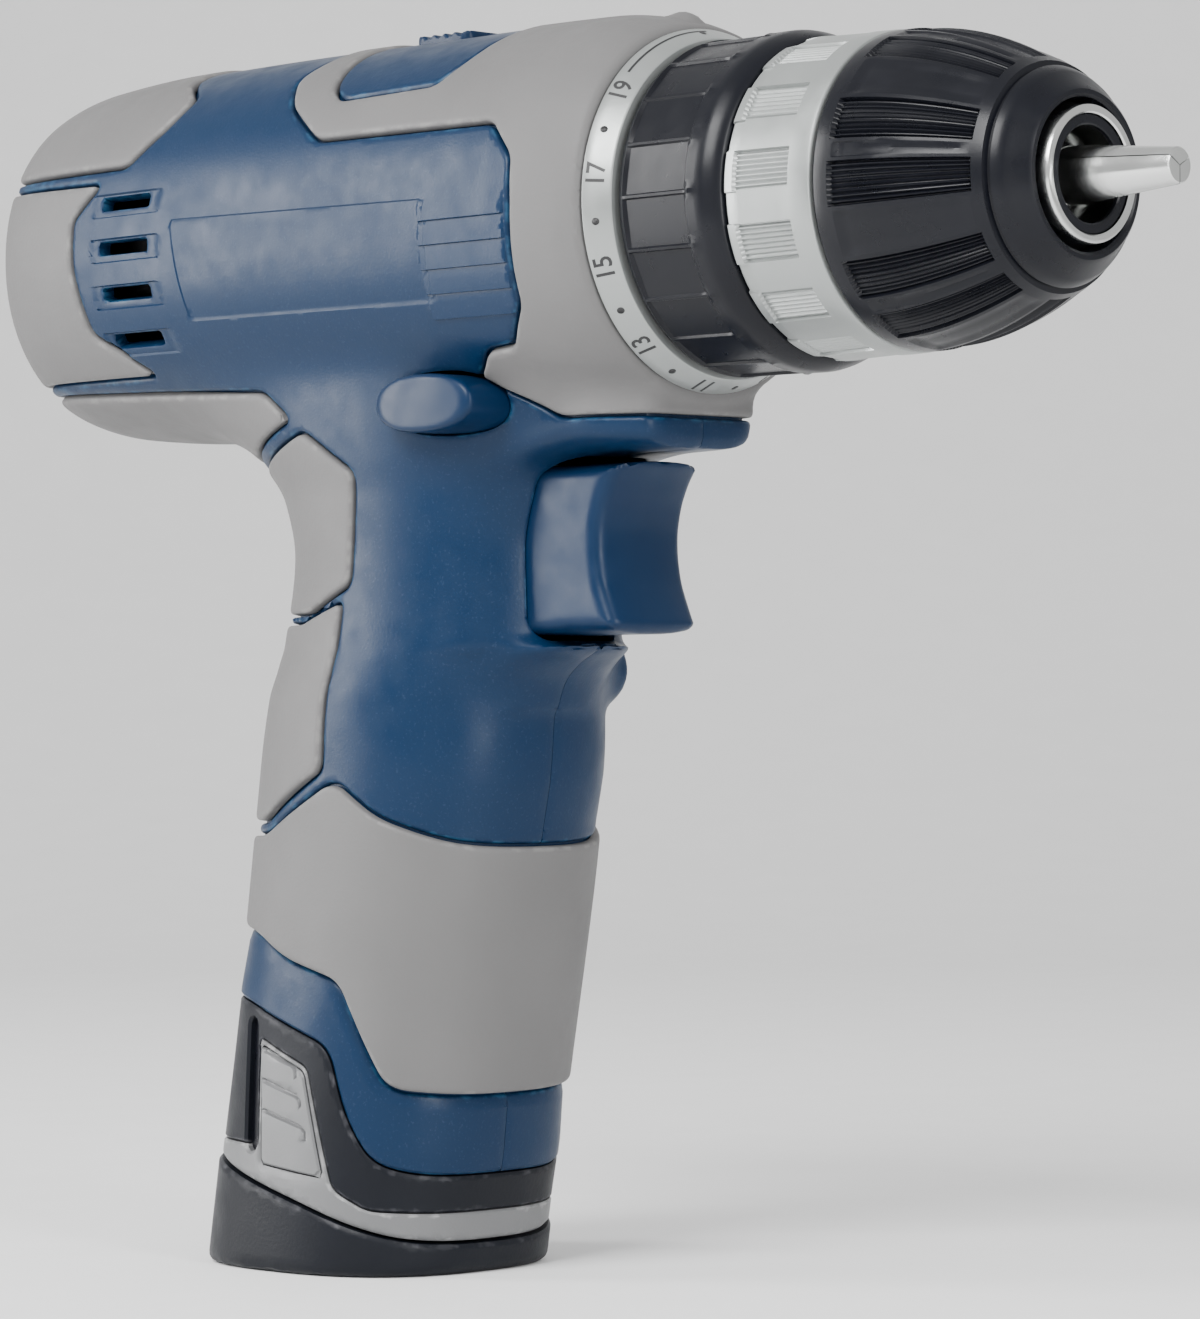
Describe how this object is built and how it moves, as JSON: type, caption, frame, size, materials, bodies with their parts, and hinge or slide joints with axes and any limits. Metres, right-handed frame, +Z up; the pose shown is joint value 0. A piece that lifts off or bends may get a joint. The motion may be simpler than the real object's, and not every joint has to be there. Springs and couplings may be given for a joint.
{
  "type": "cordless drill driver",
  "caption": "Pistol-grip cordless drill with keyless chuck, torque collar, top speed selector, direction button, trigger and a stick battery in the grip.",
  "frame": {"origin": "centre of the battery foot's flat underside", "axes": "+X along the drill axis towards the chuck, +Y to the tool's left side, +Z up"},
  "size_m": [0.2129, 0.0552, 0.1796],
  "materials": {
    "blue_shell": "satin",
    "blue_controls": "satin",
    "grey_overmould": "matte",
    "black_gloss": "gloss",
    "black_plastic": "satin",
    "grey_plastic": "satin",
    "silver_plastic": "satin",
    "bright_steel": "polished",
    "gear_steel": "satin",
    "screw_steel": "satin",
    "bearing_brass": "satin",
    "rotor": "satin",
    "magnet": "satin",
    "gear_case_plastic": "matte",
    "cell_wrap": "satin",
    "red_wire": "satin",
    "black_wire": "satin"
  },
  "bodies": {
    "body": {"housing_right": "blue_shell", "housing_left": "blue_shell", "rear_top_pad": "grey_overmould", "rear_cap": "grey_overmould", "rear_bottom_pad": "grey_overmould", "nose_cover": "grey_overmould", "grip_pad_upper": "grey_overmould", "grip_pad_lower": "grey_overmould", "grip_sleeve": "grey_overmould", "screw_rear": "screw_steel", "screw_nose": "screw_steel", "screw_neck": "screw_steel", "screw_grip": "screw_steel", "switch_module": "black_plastic", "terminal_block": "black_plastic", "motor_wire_red": "red_wire", "motor_wire_black": "black_wire", "motor_can": "gear_steel", "motor_magnets": "magnet", "motor_end_cap": "black_plastic", "motor_bearing": "bearing_brass", "gear_case": "gear_case_plastic", "ring_gear_2": "gear_steel", "spindle_bearing": "gear_steel", "clutch_washer": "gear_steel", "clutch_spring": "gear_steel"},
    "trigger": {"trigger": "blue_controls"},
    "direction_button": {"direction_button": "blue_controls"},
    "speed_selector": {"speed_selector": "blue_controls"},
    "shift_fork": {"shift_fork": "gear_steel"},
    "sliding_ring_gear": {"ring_gear_1": "gear_steel"},
    "torque_collar": {"torque_collar": "black_gloss", "scale_ring": "silver_plastic"},
    "clutch_nut": {"clutch_nut": "gear_case_plastic"},
    "spindle": {"spindle": "gear_steel", "carrier_2": "gear_steel", "chuck_body": "bright_steel", "chuck_rear_sleeve": "silver_plastic"},
    "front_sleeve": {"chuck_front_sleeve": "black_gloss"},
    "jaw_a": {"jaw_a": "bright_steel"},
    "jaw_b": {"jaw_b": "bright_steel"},
    "jaw_c": {"jaw_c": "bright_steel"},
    "carrier_1": {"carrier_1": "gear_steel"},
    "armature": {"armature": "rotor", "motor_fan": "black_plastic", "motor_pinion": "gear_steel"},
    "planet_1_a": {"planet_1_a": "gear_steel"},
    "planet_1_b": {"planet_1_b": "gear_steel"},
    "planet_1_c": {"planet_1_c": "gear_steel"},
    "planet_2_a": {"planet_2_a": "gear_steel"},
    "planet_2_b": {"planet_2_b": "gear_steel"},
    "planet_2_c": {"planet_2_c": "gear_steel"},
    "battery": {"battery_case": "black_plastic", "battery_band": "grey_plastic", "battery_cap": "black_plastic", "cell_right": "cell_wrap", "cell_left": "cell_wrap", "cell_rear": "cell_wrap"},
    "latch_right": {"battery_latch_right": "grey_plastic"},
    "latch_left": {"battery_latch_left": "grey_plastic"}
  },
  "joints": [
    {"name": "trigger_squeeze", "type": "slide", "parent": "body", "child": "trigger", "axis": [-1, 0, 0], "range_m": [0, 0.0055], "stiffness_N_per_m": 500, "springref_m": -0.003},
    {"name": "direction_slide", "type": "slide", "parent": "body", "child": "direction_button", "axis": [0, 1, 0], "range_m": [-0.0022, 0.0022]},
    {"name": "speed_select", "type": "slide", "parent": "body", "child": "speed_selector", "axis": [1, 0, 0], "range_m": [0, 0.004]},
    {"name": "fork_shift", "type": "slide", "parent": "body", "child": "shift_fork", "axis": [1, 0, 0], "range_m": [0, 0.004]},
    {"name": "ring_gear_shift", "type": "slide", "parent": "body", "child": "sliding_ring_gear", "axis": [1, 0, 0], "range_m": [0, 0.004]},
    {"name": "torque_set", "type": "hinge", "parent": "body", "child": "torque_collar", "pos_m": [0.0805, 0, 0.1504], "axis": [1, 0, 0], "range_deg": [-322, 0]},
    {"name": "clutch_nut_feed", "type": "slide", "parent": "body", "child": "clutch_nut", "axis": [1, 0, 0], "range_m": [0, 0.0068]},
    {"name": "spindle_spin", "type": "hinge", "parent": "body", "child": "spindle", "pos_m": [0.0838, 0, 0.1504], "axis": [1, 0, 0], "continuous": true},
    {"name": "carrier_1_spin", "type": "hinge", "parent": "body", "child": "carrier_1", "pos_m": [0.0165, 0, 0.1504], "axis": [1, 0, 0], "continuous": true},
    {"name": "motor_spin", "type": "hinge", "parent": "body", "child": "armature", "pos_m": [-0.0193, 0, 0.1504], "axis": [1, 0, 0], "continuous": true},
    {"name": "planet_1_a_spin", "type": "hinge", "parent": "carrier_1", "child": "planet_1_a", "pos_m": [0.0125, 0.009, 0.1504], "axis": [1, 0, 0], "continuous": true},
    {"name": "planet_1_b_spin", "type": "hinge", "parent": "carrier_1", "child": "planet_1_b", "pos_m": [0.0125, -0.0045, 0.15819], "axis": [1, 0, 0], "continuous": true},
    {"name": "planet_1_c_spin", "type": "hinge", "parent": "carrier_1", "child": "planet_1_c", "pos_m": [0.0125, -0.0045, 0.14261], "axis": [1, 0, 0], "continuous": true},
    {"name": "planet_2_a_spin", "type": "hinge", "parent": "spindle", "child": "planet_2_a", "pos_m": [0.024, 0.009, 0.1504], "axis": [1, 0, 0], "continuous": true},
    {"name": "planet_2_b_spin", "type": "hinge", "parent": "spindle", "child": "planet_2_b", "pos_m": [0.024, -0.0045, 0.15819], "axis": [1, 0, 0], "continuous": true},
    {"name": "planet_2_c_spin", "type": "hinge", "parent": "spindle", "child": "planet_2_c", "pos_m": [0.024, -0.0045, 0.14261], "axis": [1, 0, 0], "continuous": true},
    {"name": "sleeve_turn", "type": "hinge", "parent": "spindle", "child": "front_sleeve", "pos_m": [0.1201, 0, 0.1504], "axis": [1, 0, 0], "range_deg": [0, 2800]},
    {"name": "jaw_a_slide", "type": "slide", "parent": "spindle", "child": "jaw_a", "axis": [-0.9703, 0, 0.2419], "range_m": [0, 0.02]},
    {"name": "jaw_b_slide", "type": "slide", "parent": "spindle", "child": "jaw_b", "axis": [-0.9703, -0.2095, -0.121], "range_m": [0, 0.02]},
    {"name": "jaw_c_slide", "type": "slide", "parent": "spindle", "child": "jaw_c", "axis": [-0.9703, 0.2095, -0.121], "range_m": [0, 0.02]},
    {"name": "battery_withdraw", "type": "slide", "parent": "body", "child": "battery", "axis": [-0.1736, 0, -0.9848], "range_m": [0, 0.09]},
    {"name": "latch_right_press", "type": "slide", "parent": "battery", "child": "latch_right", "axis": [0, 1, 0], "range_m": [0, 0.0009], "stiffness_N_per_m": 800, "springref_m": -0.001},
    {"name": "latch_left_press", "type": "slide", "parent": "battery", "child": "latch_left", "axis": [0, -1, 0], "range_m": [0, 0.0009], "stiffness_N_per_m": 800, "springref_m": -0.001}
  ],
  "couplings": [
    {"joint": "fork_shift", "follows": "speed_select", "ratio": 1},
    {"joint": "ring_gear_shift", "follows": "speed_select", "ratio": 1},
    {"joint": "clutch_nut_feed", "follows": "torque_set", "m_per_rad": -0.0012},
    {"joint": "carrier_1_spin", "follows": "spindle_spin", "ratio": 4.8},
    {"joint": "motor_spin", "follows": "spindle_spin", "ratio": 23.04},
    {"joint": "planet_1_a_spin", "follows": "spindle_spin", "ratio": -13.029},
    {"joint": "planet_1_b_spin", "follows": "spindle_spin", "ratio": -13.029},
    {"joint": "planet_1_c_spin", "follows": "spindle_spin", "ratio": -13.029},
    {"joint": "planet_2_a_spin", "follows": "spindle_spin", "ratio": -2.7143},
    {"joint": "planet_2_b_spin", "follows": "spindle_spin", "ratio": -2.7143},
    {"joint": "planet_2_c_spin", "follows": "spindle_spin", "ratio": -2.7143},
    {"joint": "jaw_a_slide", "follows": "sleeve_turn", "m_per_rad": 0.000405},
    {"joint": "jaw_b_slide", "follows": "sleeve_turn", "m_per_rad": 0.000405},
    {"joint": "jaw_c_slide", "follows": "sleeve_turn", "m_per_rad": 0.000405}
  ]
}
